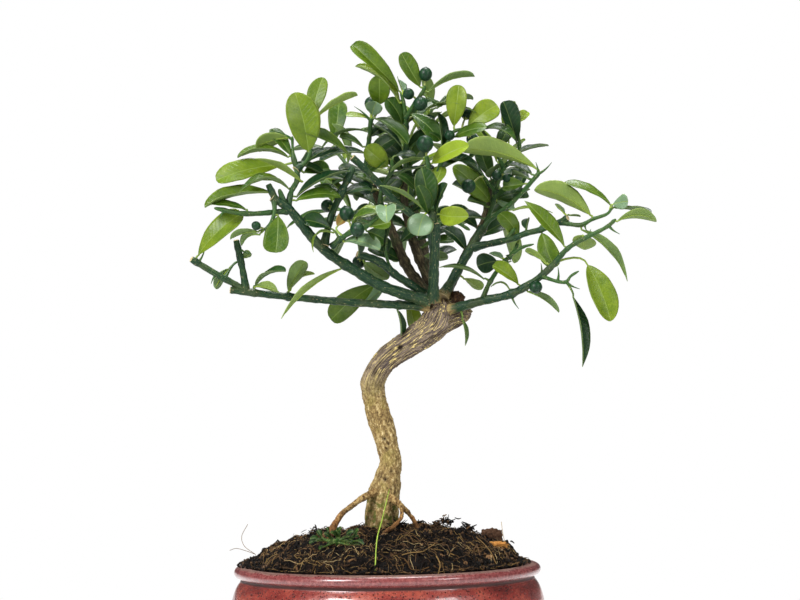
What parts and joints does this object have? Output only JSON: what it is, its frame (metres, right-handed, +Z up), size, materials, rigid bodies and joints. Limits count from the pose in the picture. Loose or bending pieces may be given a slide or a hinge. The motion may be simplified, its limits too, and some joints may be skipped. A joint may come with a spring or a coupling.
{
  "type": "bonsai tree",
  "caption": "Small kumquat bonsai with an S-shaped trunk, green unripe fruits and thorny green branches, growing in a round glazed pot.",
  "frame": {"origin": "centre of the pot's flat base, on the surface it stands on", "axes": "+Z up along the pot's axis, -Y towards the front that shows the tree's best side, +X to the right seen from the front"},
  "size_m": [0.2264, 0.1754, 0.3284],
  "materials": {
    "glaze": "gloss",
    "plastic": "matte",
    "peat": "matte",
    "bark": "matte",
    "green_wood": "satin",
    "leaf": "gloss",
    "fruit": "gloss"
  },
  "bodies": {
    "root": {"bark_chip": "bark", "drain_mesh": "plastic", "fruit_behind_leaf": "fruit", "fruit_brown": "fruit", "fruit_crown_left": "fruit", "fruit_crown_rear": "fruit", "fruit_crown_right": "fruit", "fruit_front_large": "fruit", "fruit_inner_left": "fruit", "fruit_inner_right": "fruit", "fruit_left_lower": "fruit", "fruit_left_small": "fruit", "fruit_left_upper": "fruit", "fruit_pair_left": "fruit", "fruit_pair_right": "fruit", "fruit_right_low": "fruit", "fruit_right_rear": "fruit", "fruit_stick": "fruit", "fruit_top": "fruit", "fruit_under_limb": "fruit", "fruit_yellow_leaf": "fruit", "grass_blade": "leaf", "limb_back": "bark", "limb_centre": "green_wood", "limb_crown_front": "green_wood", "limb_left": "green_wood", "limb_left_low": "green_wood", "limb_left_mid": "green_wood", "limb_rear_left": "bark", "limb_rear_mid": "bark", "limb_rear_right": "bark", "limb_right_low": "green_wood", "limb_right_mid": "green_wood", "limb_right_up": "green_wood", "pot": "glaze", "shoot_below_left": "leaf", "shoot_centre_tuft": "leaf", "shoot_crown_front": "leaf", "shoot_crown_left": "leaf", "shoot_crown_mid": "leaf", "shoot_crown_right": "leaf", "shoot_crown_top": "leaf", "shoot_left_front": "leaf", "shoot_left_side": "leaf", "shoot_left_stick": "leaf", "shoot_left_upright": "leaf", "shoot_mid_left": "leaf", "shoot_right_inner": "leaf", "shoot_right_low": "leaf", "shoot_right_top": "leaf", "soil": "peat", "spray_back_crown": "leaf", "spray_back_high": "leaf", "spray_back_left_high": "leaf", "spray_back_left_low": "leaf", "spray_back_low": "leaf", "spray_back_right_high": "leaf", "spray_back_right_low": "leaf", "trunk": "bark", "weed": "leaf"}
  },
  "joints": []
}
